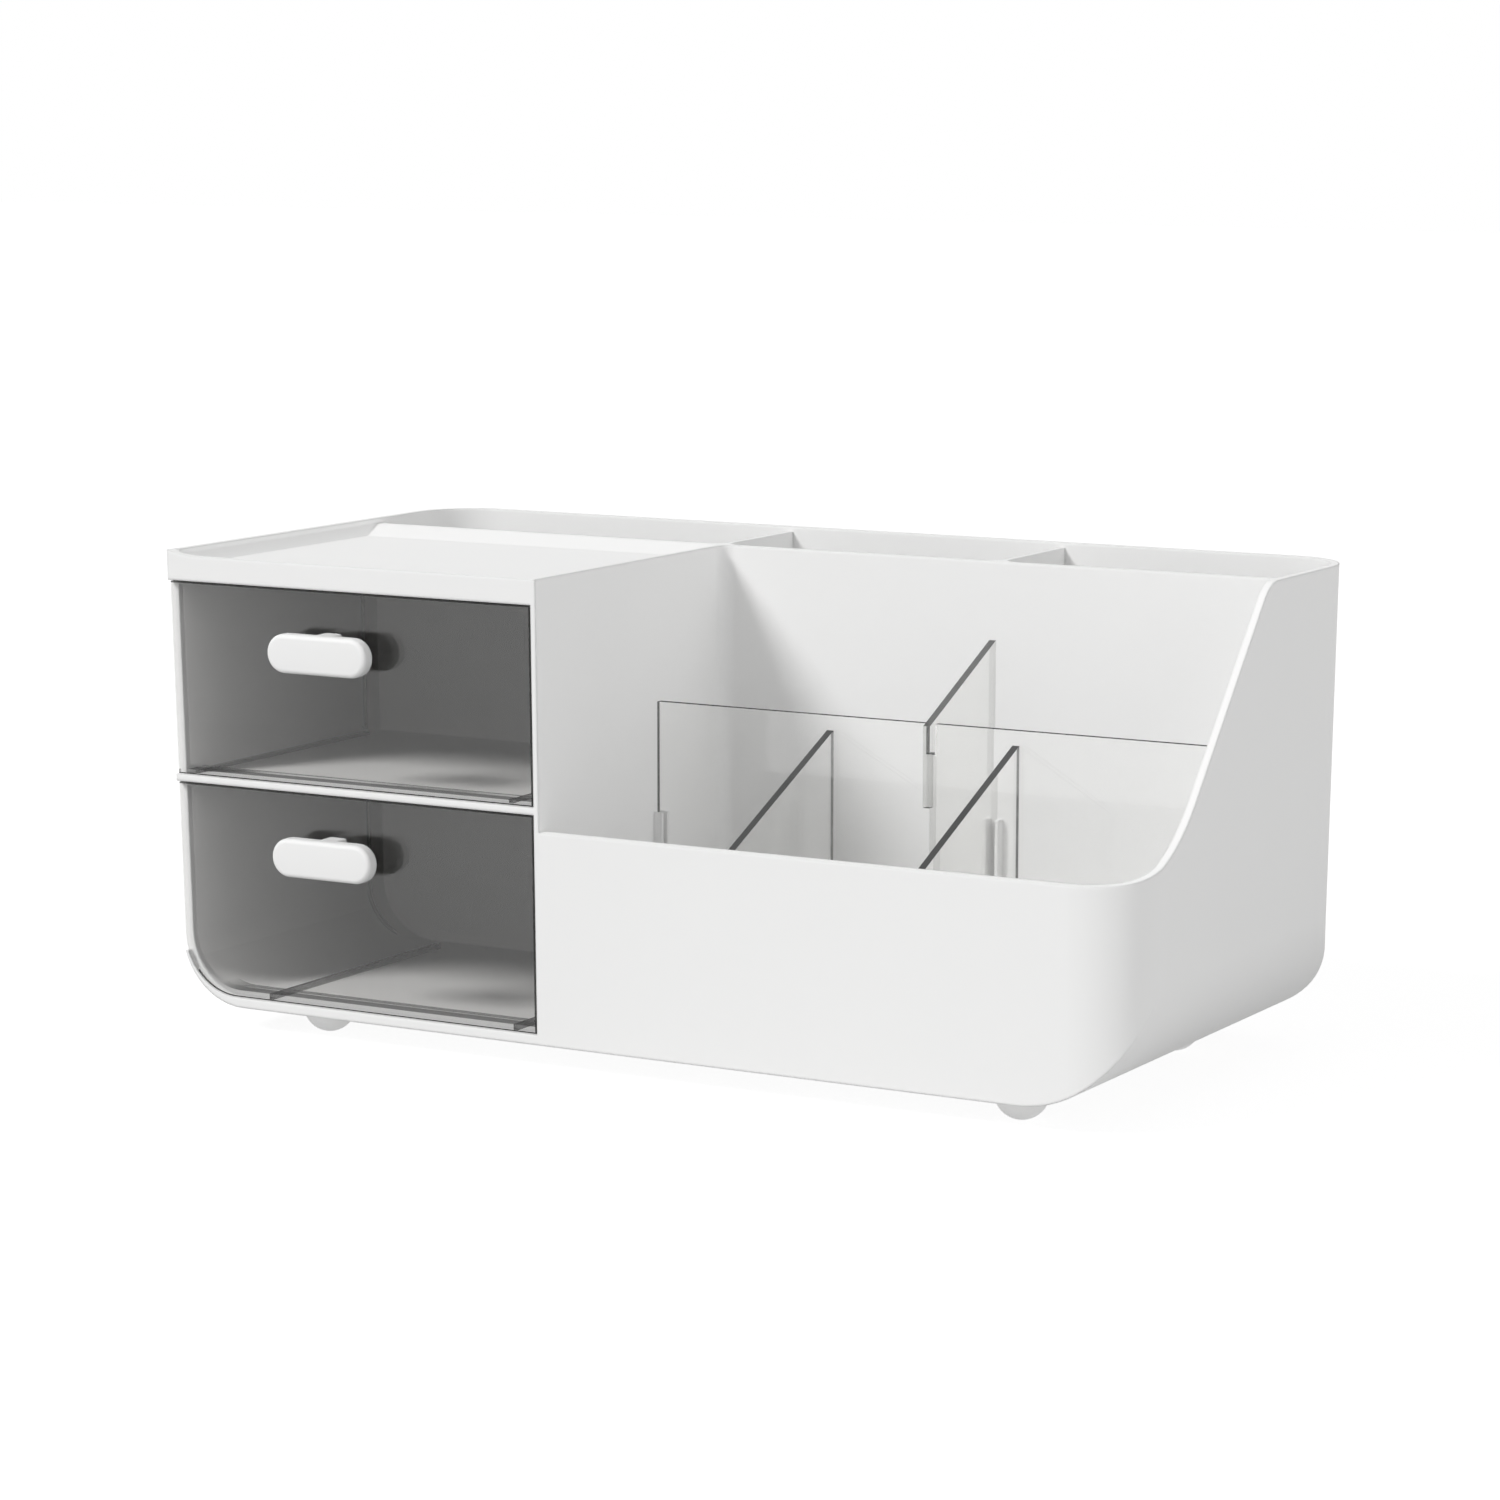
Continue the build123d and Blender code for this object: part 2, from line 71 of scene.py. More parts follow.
# %% [markdown]
# ## Camera
# The photograph was matched with a pinhole camera: a long lens about 1.4 metres away, to the right of
# the front and a little above the top. A constraint could aim the camera at the object. Here it is
# placed by its turn round the object and its height above the horizon, so the numbers can be read and
# changed one at a time.

# %% Camera at the photograph's viewpoint
image_width_px = 1500
focal_length_px = 4534.5
sensor_width_mm = 36.0
turn, rise, roll = radians(29.6254), radians(8.7233), radians(0.0396)
view_distance = 1.3586
view_target = Vector((-0.004646, 0.007563, 0.086333))

towards_camera = Vector((sin(turn) * cos(rise), -cos(turn) * cos(rise), sin(rise)))
level_right = Vector((cos(turn), sin(turn), 0))
level_up = towards_camera.cross(level_right)
image_right = cos(roll) * level_right + sin(roll) * level_up
image_up = towards_camera.cross(image_right)

camera_data = bpy.data.cameras.new("camera")
camera_data.sensor_width = sensor_width_mm
camera_data.lens = focal_length_px / image_width_px * sensor_width_mm
camera = bpy.data.objects.new("camera", camera_data)
bpy.context.scene.collection.objects.link(camera)
axes = Matrix((image_right, image_up, towards_camera)).transposed()
camera.matrix_world = Matrix.Translation(view_target + view_distance * towards_camera) @ axes.to_4x4()
bpy.context.scene.camera = camera
bpy.context.scene.view_settings.view_transform = "Standard"
print("lens in mm", round(camera_data.lens, 1))

# %% [markdown]
# ## Helpers for node materials
# Each finish is a small tree of shader nodes. It could be drawn by hand in the editor, but code can be
# read and run again. A few helpers keep the trees short to write. They start a material, add a noise that
# lies on the piece itself because it reads Object coordinates, spread that noise over a range, turn it
# into a bump, and blend two colours.

# %% Start a material and add noise to it
noise_detail = 2.0
noise_low, noise_high = 0.3, 0.7


def start_material(name):
    material = bpy.data.materials.new(name)
    material.use_nodes = True
    tree = material.node_tree
    shader = tree.nodes["Principled BSDF"]
    coordinates = tree.nodes.new("ShaderNodeTexCoord")
    return material, tree, shader, coordinates.outputs["Object"]


def add_noise(tree, place, grain_mm):
    noise = tree.nodes.new("ShaderNodeTexNoise")
    noise.inputs["Scale"].default_value = 1000 / grain_mm
    noise.inputs["Detail"].default_value = noise_detail
    tree.links.new(place, noise.inputs["Vector"])
    return noise.outputs["Fac"]


def spread(tree, value, low, high):
    # Noise gathers round its middle, so its middle part is stretched over the whole range
    stretch = tree.nodes.new("ShaderNodeMapRange")
    stretch.inputs["From Min"].default_value = noise_low
    stretch.inputs["From Max"].default_value = noise_high
    stretch.inputs["To Min"].default_value = low
    stretch.inputs["To Max"].default_value = high
    tree.links.new(value, stretch.inputs["Value"])
    return stretch.outputs["Result"]


# %% Bumps and blended colours
def add_bump(tree, height, depth_mm, normal=None):
    bump = tree.nodes.new("ShaderNodeBump")
    bump.inputs["Distance"].default_value = depth_mm / 1000
    tree.links.new(height, bump.inputs["Height"])
    if normal is not None:
        tree.links.new(normal, bump.inputs["Normal"])
    return bump.outputs["Normal"]


def grey(level):
    return (level, level, level)


def mix_colours(tree, amount, first, second):
    # Each of the two is a colour or the output of another node
    blend = tree.nodes.new("ShaderNodeMix")
    blend.data_type = "RGBA"
    for socket, colour in (("A", first), ("B", second)):
        if isinstance(colour, tuple):
            blend.inputs[socket].default_value = (*colour, 1)
        else:
            tree.links.new(colour, blend.inputs[socket])
    tree.links.new(amount, blend.inputs["Factor"])
    return blend.outputs["Result"]


# %% [markdown]
# ## White moulded plastic
# The body is one moulding in white plastic with a fine satin texture from the tool. The colour is nearly
# even, the gloss is low, and under a lens the surface has a grain of about a quarter of a millimetre.
# Moulded edges are never quite sharp. Rounding them in the mesh would touch the fixed frame, so a Bevel
# node bends the shading across each edge instead.

# %% Satin white finish
satin_gloss = 0.15
cloud_mm, cloud_paler = 60, 1.015
satin_grain_mm, satin_grain_depth_mm, satin_grain_gloss = 0.25, 0.004, 0.05
bevel_samples = 6


def satin_white(name, colour, roughness, edge_round_mm):
    material, tree, shader, place = start_material(name)
    shader.inputs["Specular IOR Level"].default_value = satin_gloss
    cloud = add_noise(tree, place, cloud_mm)
    paler = tuple(min(1, channel * cloud_paler) for channel in colour)
    tree.links.new(mix_colours(tree, cloud, colour, paler), shader.inputs["Base Color"])
    grain = add_noise(tree, place, satin_grain_mm)
    gloss = spread(tree, grain, roughness - satin_grain_gloss, roughness + satin_grain_gloss)
    tree.links.new(gloss, shader.inputs["Roughness"])
    soft_edge = tree.nodes.new("ShaderNodeBevel")
    soft_edge.samples = bevel_samples
    soft_edge.inputs["Radius"].default_value = edge_round_mm / 1000
    bump = add_bump(tree, grain, satin_grain_depth_mm, soft_edge.outputs["Normal"])
    tree.links.new(bump, shader.inputs["Normal"])
    return material


# %% [markdown]
# The body, the feet and the grips are separate mouldings. One finish would do for all, but the feet are a
# little paler, the small mouldings are a little smoother, and their edges are tighter.

# %% White finishes on the pieces
body_colour, foot_colour = (0.88, 0.88, 0.875), (0.94, 0.94, 0.935)
white_plastic = satin_white("white_plastic", body_colour, roughness=0.55, edge_round_mm=1.25)
foot_white = satin_white("foot_white", foot_colour, roughness=0.50, edge_round_mm=0.3)
handle_white = satin_white("handle_white", body_colour, roughness=0.45, edge_round_mm=0.3)
nodes["body"].data.materials[0] = white_plastic
for feet in ("front_feet", "rear_feet"):
    nodes[feet].data.materials[0] = foot_white
print("white finishes", [finish.name for finish in (white_plastic, foot_white, handle_white)])

# %% [markdown]
# ## Clear plastic
# The drawers and the dividers are clear plastic, such as polystyrene. A glass shader alone bends the
# light at each face, as the real piece does, but a path tracer can't find a lamp through bent light, and
# the closed drawers would stay dark. So for shadow rays and for soft bounced light the plastic is a plain
# tinted window. Light that has bounced inside a drawer before is tinted more, because it has crossed the
# plastic more often.


# %% Small helpers for sums in node trees
def new_math(tree, operation, first, second=None, clamp=False):
    node = tree.nodes.new("ShaderNodeMath")
    node.operation = operation
    node.use_clamp = clamp
    for socket, value in zip(node.inputs, (first, second)):
        if value is None:
            continue
        if isinstance(value, (int, float)):
            socket.default_value = value
        else:
            tree.links.new(value, socket)
    return node.outputs["Value"]


def times(tree, first, second):
    # For two masks, this is where both hold
    return new_math(tree, "MULTIPLY", first, second)


def either(tree, first, second):
    return new_math(tree, "MAXIMUM", first, second)


def without(tree, mask, taken):
    return times(tree, mask, new_math(tree, "SUBTRACT", 1.0, taken))


def above(tree, value, limit):
    return new_math(tree, "GREATER_THAN", value, limit)


def below(tree, value, limit):
    return new_math(tree, "LESS_THAN", value, limit)


# %% Window for shadow rays and bounced light
deep_from = 1.5


def mix_shaders(tree, amount, first, second):
    blend = tree.nodes.new("ShaderNodeMixShader")
    tree.links.new(amount, blend.inputs["Fac"])
    tree.links.new(first, blend.inputs[1])
    tree.links.new(second, blend.inputs[2])
    return blend.outputs["Shader"]


def add_window(tree, sun_tint, soft_tint, deep_tint):
    path = tree.nodes.new("ShaderNodeLightPath")
    shadow, bounced = path.outputs["Is Shadow Ray"], path.outputs["Is Diffuse Ray"]
    # Deep light has bounced twice, or once before the shadow ray that looks for a lamp
    deep_limit = new_math(tree, "SUBTRACT", deep_from, shadow)
    deep = above(tree, path.outputs["Diffuse Depth"], deep_limit)
    first_tint = mix_colours(tree, shadow, grey(soft_tint), grey(sun_tint))
    window = tree.nodes.new("ShaderNodeBsdfTransparent")
    tree.links.new(mix_colours(tree, deep, first_tint, grey(deep_tint)), window.inputs["Color"])
    return either(tree, shadow, bounced), window.outputs["BSDF"]


# %% [markdown]
# The narrow edges of a clear plate trap light and look an even dark grey. Very many bounces would show
# that too, but slowly and with noise, so the edges get a painted shade instead: a matte grey that stands
# in for the trapped light. The finish then has three parts: the clear plastic, the painted grey, and a
# straight view for faces that hardly show. Masks say where each part goes.

# %% Clear finish with painted grey shade on the edges
plastic_ior = 1.49
polish_mm, polish_rough = 9, 0.02
edge_grain_mm, edge_grain_depth_mm, edge_grain_shade = 0.6, 0.02, 0.9


# Matte grey that paints the shade of light trapped in an edge of the plastic
def painted_shade_edge(tree, place, level):
    edge = tree.nodes.new("ShaderNodeBsdfDiffuse")
    grain = add_noise(tree, place, edge_grain_mm)
    colour = mix_colours(tree, grain, grey(level * edge_grain_shade), grey(level))
    tree.links.new(colour, edge.inputs["Color"])
    tree.links.new(add_bump(tree, grain, edge_grain_depth_mm), edge.inputs["Normal"])
    return edge.outputs["BSDF"]


def clear_plastic(name, tint, window_tints, haze, painted_shade_mask, painted_shade_level, straight_mask=None):
    material, tree, shader, place = start_material(name)
    shader.inputs["Base Color"].default_value = (*tint, 1)
    shader.inputs["Transmission Weight"].default_value = 1 - haze
    shader.inputs["IOR"].default_value = plastic_ior
    polish = add_noise(tree, place, polish_mm)
    tree.links.new(spread(tree, polish, 0.0, polish_rough), shader.inputs["Roughness"])
    clear = shader.outputs["BSDF"]
    if straight_mask is not None:
        straight = tree.nodes.new("ShaderNodeBsdfTransparent")
        straight.inputs["Color"].default_value = (*tint, 1)
        clear = mix_shaders(tree, straight_mask(tree, place), clear, straight.outputs["BSDF"])
    # Painted shade: the grey goes where the mask marks edges and dark lines
    seen = mix_shaders(tree, painted_shade_mask(tree, place), clear, painted_shade_edge(tree, place, painted_shade_level))
    soft_light, window = add_window(tree, *window_tints)
    finished = mix_shaders(tree, soft_light, seen, window)
    tree.links.new(finished, tree.nodes["Material Output"].inputs["Surface"])
    return material


# %% [markdown]
# A mask asks which way a face looks and where it is. It could be painted on the mesh, but the frame's
# meshes stay as they are, so it is worked out from the face's normal and from Object coordinates.


# %% Helpers for masks
def split_axes(tree, vector):
    parts = tree.nodes.new("ShaderNodeSeparateXYZ")
    tree.links.new(vector, parts.inputs["Vector"])
    return parts.outputs


def facing(tree, axis):
    # Share of the face's direction along an axis of the object
    coordinates = tree.nodes.new("ShaderNodeTexCoord")
    return new_math(tree, "ABSOLUTE", split_axes(tree, coordinates.outputs["Normal"])[axis])


def ramp(tree, value, start, slope):
    # Zero up to the start, then rising to one
    return new_math(tree, "SUBTRACT", times(tree, value, slope), start * slope, clamp=True)


def within(tree, value, limit):
    return below(tree, new_math(tree, "ABSOLUTE", value), limit)


def leaving_plastic(tree):
    # One where a ray meets the face from inside the plastic
    return tree.nodes.new("ShaderNodeNewGeometry").outputs["Backfacing"]


# %% [markdown]
# The front plate of a drawer leans with the front of the body, so its back is a leaning plane. Everything
# in front of that plane that doesn't face forward is an edge of the plate. The sides of the runners under
# the floor, the round corners at the back and the front end of the floor show as dark lines too. All
# these
# lines are painted shade: a grey put where light trapped in the plastic would make them dark.

# %% Measures of the drawers
panel_low, panel_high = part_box("upper_drawer")
front_lean = radians(1.0)
plate_depth, trap_depth = 0.0022, 0.009
plate_back = panel_low.y + sin(front_lean) * panel_high.z + plate_depth
left_band, back_band = 0.006, 0.002
left_end, back_end = panel_low.x + left_band, panel_high.y - back_band
# Levels of the undersides of the two floors, where the runners begin
low_floor, high_floor = 0.0129, 0.0793
squarely, half_turned, corner_turn = 0.9, 0.5, 0.3
print("back of the front plates at z = 0 in mm", in_mm([plate_back]))


# %% Places of the painted shade lines on a drawer
def plate_outline(tree, spot, behind_front):
    # The left side gets no painted shade, because it is lit through from behind
    in_plate = below(tree, behind_front, plate_back)
    edge = times(tree, in_plate, below(tree, facing(tree, "Y"), squarely))
    turned_left = ramp(tree, facing(tree, "X"), start=0.35, slope=3)
    return without(tree, edge, times(tree, below(tree, spot["X"], left_end), turned_left))


def runner_sides(tree, level):
    low_runner = below(tree, level, low_floor)
    high_runner = times(tree, above(tree, level, panel_low.z), below(tree, level, high_floor))
    return times(tree, either(tree, low_runner, high_runner), above(tree, facing(tree, "X"), squarely))


def floor_front(tree, behind_front):
    # Light that enters through the front plate is trapped in the front end of the floor; that end gets
    # painted shade
    near_plate = below(tree, behind_front, plate_back + trap_depth)
    level_face = ramp(tree, facing(tree, "Z"), start=0.9, slope=10)
    return times(tree, times(tree, leaving_plastic(tree), near_plate), level_face)


def upright_corner(tree):
    turned_sideways = above(tree, facing(tree, "X"), corner_turn)
    return times(tree, turned_sideways, above(tree, facing(tree, "Y"), corner_turn))


# %% Painted shade lines on a drawer
# Strengths of the painted shade on the plate outline and on the fainter lines
painted_line_strength = 0.9
runner_strength, corner_strength, trapped_strength = 0.6, 0.5, 0.8


def drawer_painted_lines(tree, place):
    spot = split_axes(tree, place)
    behind_front = new_math(tree, "ADD", spot["Y"], times(tree, spot["Z"], sin(front_lean)))
    dark = plate_outline(tree, spot, behind_front)
    fainter_lines = (
        (runner_sides(tree, spot["Z"]), runner_strength),
        (upright_corner(tree), corner_strength),
        (floor_front(tree, behind_front), trapped_strength),
    )
    for line, strength in fainter_lines:
        dark = either(tree, dark, times(tree, line, strength))
    return times(tree, dark, painted_line_strength)


# %% [markdown]
# The floor of a drawer lies on the white shelf, and its left side and its back are close to white walls.
# In the photograph these faces hardly show. Bent light would draw them, so they let it go straight on.

# %% Faces of a drawer that hardly show
straight_strength = 0.97


def drawer_straight(tree, place):
    spot = split_axes(tree, place)
    level_face = ramp(tree, facing(tree, "Z"), start=0.1, slope=4)
    back_face = times(tree, above(tree, spot["Y"], back_end), above(tree, facing(tree, "Y"), squarely))
    hardly_seen = times(tree, either(tree, level_face, back_face), straight_strength)
    left_face = times(tree, below(tree, spot["X"], left_end), above(tree, facing(tree, "X"), half_turned))
    return either(tree, hardly_seen, times(tree, left_face, leaving_plastic(tree)))


# %% [markdown]
# A divider is a plate, so every face that doesn't look along its thickness is an edge, and its edges get
# the painted grey shade. In the photograph the upright edges of the rear divider and the sides of the
# notch for its hook hardly show, so that divider and the long one have masks of their own.

# %% Edges of the dividers, where the grey shade is painted
edge_shade_strength, upright_clear, hook_clear = 0.85, 0.8, 0.9
notch_half = 0.005
hook_low, hook_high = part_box("rear_divider")
hook_middle = (hook_low.x + hook_high.x) / 2


def plate_edges(axis):
    def mask(tree, place):
        return times(tree, below(tree, facing(tree, axis), half_turned), edge_shade_strength)
    return mask


def rear_edges(tree, place):
    upright = times(tree, above(tree, facing(tree, "Y"), half_turned), upright_clear)
    return without(tree, plate_edges("X")(tree, place), upright)


def hook_straight(tree, place):
    # All but the top edge of the thin plate shows what is behind it
    return times(tree, below(tree, facing(tree, "Z"), half_turned), hook_clear)


def long_edges(tree, place):
    from_hook = new_math(tree, "SUBTRACT", split_axes(tree, place)["X"], hook_middle)
    sideways = above(tree, facing(tree, "X"), half_turned)
    notch_side = times(tree, within(tree, from_hook, notch_half), sideways)
    return without(tree, plate_edges("Y")(tree, place), notch_side)


# %% [markdown]
# With the masks ready, each clear piece gets its finish. The drawers share one. The dividers are the same
# plastic everywhere and differ only in their masks. The three numbers of a window are its tints for the
# lamps, for light that has bounced once, and for deep light.

# %% Finish of the drawers
drawer_tint, drawer_window = (0.995, 0.992, 0.985), (1.0, 0.88, 0.48)
# The grey of the drawers' edges and lines is painted shade
drawer_haze, drawer_painted_shade = 0.0, 0.05
drawer_clear = clear_plastic("clear_plastic", drawer_tint, drawer_window, drawer_haze,
                             drawer_painted_lines, drawer_painted_shade, drawer_straight)
for drawer in ("upper_drawer", "lower_drawer"):
    nodes[drawer].data.materials[0] = drawer_clear
print("drawer finish", drawer_clear.name)

# %% Finishes of the dividers
divider_tint, divider_window = (0.99, 0.99, 0.985), (0.99, 0.98, 0.95)
# The grey of the dividers' edges is painted shade
divider_haze, divider_painted_shade = 0.01, 0.09
divider_finishes = {
    "clear_divider": (plate_edges("X"), None, ("left_front_divider", "right_front_divider")),
    "clear_divider_rear": (rear_edges, hook_straight, ("rear_divider",)),
    "clear_divider_long": (long_edges, None, ("long_divider",)),
}
for name, (painted_shade_mask, straight_mask, dividers) in divider_finishes.items():
    finish = clear_plastic(name, divider_tint, divider_window, divider_haze,
                           painted_shade_mask, divider_painted_shade, straight_mask)
    for divider in dividers:
        nodes[divider].data.materials[0] = finish
print("divider finishes", *divider_finishes)

# %% [markdown]
# ## Screws
# A zinc plated screw holds each handle from inside its drawer. A plain metal shader would look like a
# mirror. Bright plating on a turned head shows fine scratches, so the gloss is broken up by a stretched
# noise.

# %% Zinc plated steel
zinc_colour = (0.62, 0.62, 0.63)
scratch_mm, scratch_depth_mm, scratch_stretch = 0.8, 0.01, (1, 1, 6)
scratch_low, scratch_high = 0.22, 0.42
screw_steel, tree, shader, place = start_material("screw_steel")
shader.inputs["Metallic"].default_value = 1.0
shader.inputs["Base Color"].default_value = (*zinc_colour, 1)
stretch = tree.nodes.new("ShaderNodeMapping")
stretch.inputs["Scale"].default_value = scratch_stretch
tree.links.new(place, stretch.inputs["Vector"])
scratches = add_noise(tree, stretch.outputs["Vector"], scratch_mm)
tree.links.new(spread(tree, scratches, scratch_low, scratch_high), shader.inputs["Roughness"])
tree.links.new(add_bump(tree, scratches, scratch_depth_mm), shader.inputs["Normal"])
for screw in ("upper_handle_screw", "lower_handle_screw"):
    nodes[screw].data.materials[0] = screw_steel
print("screw finish", screw_steel.name)

# %% [markdown]
# ## Grips
# Each handle is a pill-shaped grip on a flat stem. The solids have plain broken edges, and the real grips
# are softly rounded, so they are remade here. A box with a Bevel modifier would come close, but the pill
# follows a rule: it is a cylinder whose two halves are pulled apart and whose rings step in along a
# quarter circle at the front and the back. A Geometry Nodes tree does this with named inputs, and both
# handles use the same tree.

# %% Named inputs for the grip's node tree
grip_tree = bpy.data.node_groups.new("grip_on_stem", "GeometryNodeTree")
grip_inputs = {}


def new_input(name, kind):
    socket = grip_tree.interface.new_socket(name, in_out="INPUT", socket_type=kind)
    grip_inputs[name] = socket.identifier


for name in ("Width", "Height", "Thickness", "Front round", "Back round", "Gap", "Stem width",
             "Stem height", "Stem corner", "Lean"):
    new_input(name, "NodeSocketFloat")
new_input("Place", "NodeSocketVector")
new_input("Finish", "NodeSocketMaterial")
grip_tree.interface.new_socket("Geometry", in_out="OUTPUT", socket_type="NodeSocketGeometry")
given = grip_tree.nodes.new("NodeGroupInput").outputs
result = grip_tree.nodes.new("NodeGroupOutput")
print("inputs of the grip's tree", *grip_inputs)

# %% [markdown]
# The cylinder has a radius and a depth of 1. How far a ring lies from the back to the front, from 0 to 1,
# is shared out: the first part turns the back edge, the middle is the straight side, and the last part
# turns the front edge.

# %% Cylinder and the share of each ring
points_round, rings = 62, 20
round_share = 0.4
connect = grip_tree.links.new


def grip_math(operation, first, second=None, clamp=False):
    return new_math(grip_tree, operation, first, second, clamp)


cylinder = grip_tree.nodes.new("GeometryNodeMeshCylinder")
cylinder.fill_type = "TRIANGLE_FAN"
cylinder.inputs["Vertices"].default_value = points_round
cylinder.inputs["Side Segments"].default_value = rings
cylinder.inputs["Radius"].default_value = 1.0
cylinder.inputs["Depth"].default_value = 1.0
position = grip_tree.nodes.new("GeometryNodeInputPosition")
point = split_axes(grip_tree, position.outputs["Position"])
along = grip_math("ADD", point["Z"], 0.5)
front_turn = grip_math("DIVIDE", grip_math("SUBTRACT", along, 1 - round_share), round_share, clamp=True)
back_turn = grip_math("DIVIDE", grip_math("SUBTRACT", round_share, along), round_share, clamp=True)
side_part = 1 - 2 * round_share
side_share = grip_math("DIVIDE", grip_math("SUBTRACT", along, round_share), side_part, clamp=True)
print("cylinder with", points_round, "points round and", rings, "rings")


# %% Depth and step of each ring
def quarter(function, turn_share, radius):
    # Sine or cosine part of a quarter circle of this radius
    angle = grip_math("MULTIPLY", turn_share, pi / 2)
    return grip_math("MULTIPLY", grip_math(function, angle), radius)


front_round, back_round = given["Front round"], given["Back round"]
both_rounds = grip_math("ADD", front_round, back_round)
side_length = grip_math("SUBTRACT", given["Thickness"], both_rounds)
kept = grip_math("ADD", quarter("COSINE", front_turn, front_round),
                 quarter("COSINE", back_turn, back_round))
step_in = grip_math("SUBTRACT", both_rounds, kept)
depth = grip_math("SUBTRACT", back_round, quarter("SINE", back_turn, back_round))
depth = grip_math("ADD", depth, grip_math("MULTIPLY", side_share, side_length))
depth = grip_math("ADD", depth, quarter("SINE", front_turn, front_round))

# %% Pill from the cylinder
half_height = grip_math("MULTIPLY", given["Height"], 0.5)
ring_radius = grip_math("SUBTRACT", half_height, step_in)
pull = grip_math("SUBTRACT", grip_math("MULTIPLY", given["Width"], 0.5), half_height)
side_pull = grip_math("MULTIPLY", grip_math("SIGN", point["X"]), pull)
pill_x = grip_math("ADD", grip_math("MULTIPLY", point["X"], ring_radius), side_pull)
pill_y = grip_math("MULTIPLY", grip_math("ADD", depth, given["Gap"]), -1)
pill_z = grip_math("MULTIPLY", point["Y"], ring_radius)
together = grip_tree.nodes.new("ShaderNodeCombineXYZ")
for axis, value in zip("XYZ", (pill_x, pill_y, pill_z)):
    connect(value, together.inputs[axis])
shape_pill = grip_tree.nodes.new("GeometryNodeSetPosition")
connect(cylinder.outputs["Mesh"], shape_pill.inputs["Geometry"])
connect(together.outputs["Vector"], shape_pill.inputs["Position"])
print("nodes for the pill", len(grip_tree.nodes))

# %% [markdown]
# The stem is a rounded rectangle swept straight from the drawer's front into the grip. A scaled cube
# would have sharp corners, and the fillet on the outline keeps them round at any size.

# %% Stem from a swept outline
corner_points = 6
outline = grip_tree.nodes.new("GeometryNodeCurvePrimitiveQuadrilateral")
connect(given["Stem width"], outline.inputs["Width"])
connect(given["Stem height"], outline.inputs["Height"])
corners = grip_tree.nodes.new("GeometryNodeFilletCurve")
corners.mode = "POLY"
corners.inputs["Count"].default_value = corner_points
connect(outline.outputs["Curve"], corners.inputs["Curve"])
connect(given["Stem corner"], corners.inputs["Radius"])
half_thick = grip_math("MULTIPLY", given["Thickness"], 0.5)
stem_length = grip_math("ADD", given["Gap"], half_thick)
stem_end = grip_tree.nodes.new("ShaderNodeCombineXYZ")
connect(grip_math("MULTIPLY", stem_length, -1), stem_end.inputs["Y"])
line = grip_tree.nodes.new("GeometryNodeCurvePrimitiveLine")
connect(stem_end.outputs["Vector"], line.inputs["End"])
sweep = grip_tree.nodes.new("GeometryNodeCurveToMesh")
sweep.inputs["Fill Caps"].default_value = True
connect(line.outputs["Curve"], sweep.inputs["Curve"])
connect(corners.outputs["Curve"], sweep.inputs["Profile Curve"])
print("nodes with the stem", len(grip_tree.nodes))

# %% [markdown]
# Pill and stem are joined, shaded smooth except at sharp edges, tilted with the leaning front and moved
# to their place. Realize Instances and Set Material end the tree, so that the result is plain geometry.

# %% Smoothing, place and finish
sharp_from = radians(40)
join = grip_tree.nodes.new("GeometryNodeJoinGeometry")
for part in (shape_pill.outputs["Geometry"], sweep.outputs["Mesh"]):
    connect(part, join.inputs["Geometry"])
smooth_faces = grip_tree.nodes.new("GeometryNodeSetShadeSmooth")
connect(join.outputs["Geometry"], smooth_faces.inputs["Geometry"])
edge_angle = grip_tree.nodes.new("GeometryNodeInputMeshEdgeAngle")
keep_sharp = grip_tree.nodes.new("GeometryNodeSetShadeSmooth")
keep_sharp.domain = "EDGE"
keep_sharp.inputs["Shade Smooth"].default_value = False
connect(smooth_faces.outputs["Geometry"], keep_sharp.inputs["Geometry"])
sharp_edges = above(grip_tree, edge_angle.outputs["Unsigned Angle"], sharp_from)
connect(sharp_edges, keep_sharp.inputs["Selection"])
tilt = grip_tree.nodes.new("ShaderNodeCombineXYZ")
connect(given["Lean"], tilt.inputs["X"])
move = grip_tree.nodes.new("GeometryNodeTransform")
connect(keep_sharp.outputs["Geometry"], move.inputs["Geometry"])
connect(tilt.outputs["Vector"], move.inputs["Rotation"])
connect(given["Place"], move.inputs["Translation"])
realize = grip_tree.nodes.new("GeometryNodeRealizeInstances")
connect(move.outputs["Geometry"], realize.inputs["Geometry"])
paint = grip_tree.nodes.new("GeometryNodeSetMaterial")
connect(realize.outputs["Geometry"], paint.inputs["Geometry"])
connect(given["Finish"], paint.inputs["Material"])
connect(paint.outputs["Geometry"], result.inputs["Geometry"])
print("nodes in the grip's tree", len(grip_tree.nodes))

# %% [markdown]
# The sizes are those of the solids: the width is read from the frame, and the rest are the handle's own
# measures. The place is where the stem's axis meets the leaning front of the drawer.

# %% Sizes and place of a grip
grip_height, grip_thickness, grip_gap = 0.0116, 0.0046, 0.0050
grip_front_round, grip_back_round = 0.0014, 0.0008
stem_width, stem_height, stem_corner = 0.0065, 0.0113, 0.0010


def grip_sizes(low, high):
    middle = (low + high) / 2
    grip_centre_out = grip_gap + grip_thickness / 2
    at_front = Vector((middle.x, high.y - sin(front_lean) * stem_height / 2,
                       middle.z + sin(front_lean) * grip_centre_out))
    return {"Width": high.x - low.x, "Height": grip_height, "Thickness": grip_thickness,
            "Front round": grip_front_round, "Back round": grip_back_round, "Gap": grip_gap,
            "Stem width": stem_width, "Stem height": stem_height, "Stem corner": stem_corner,
            "Lean": front_lean, "Place": at_front, "Finish": handle_white}


# %% [markdown]
# A modifier runs the tree on an object whose mesh is still empty. Its result is copied as a plain mesh,
# that first object goes, and the copy rides on its drawer in place of the solid handle.


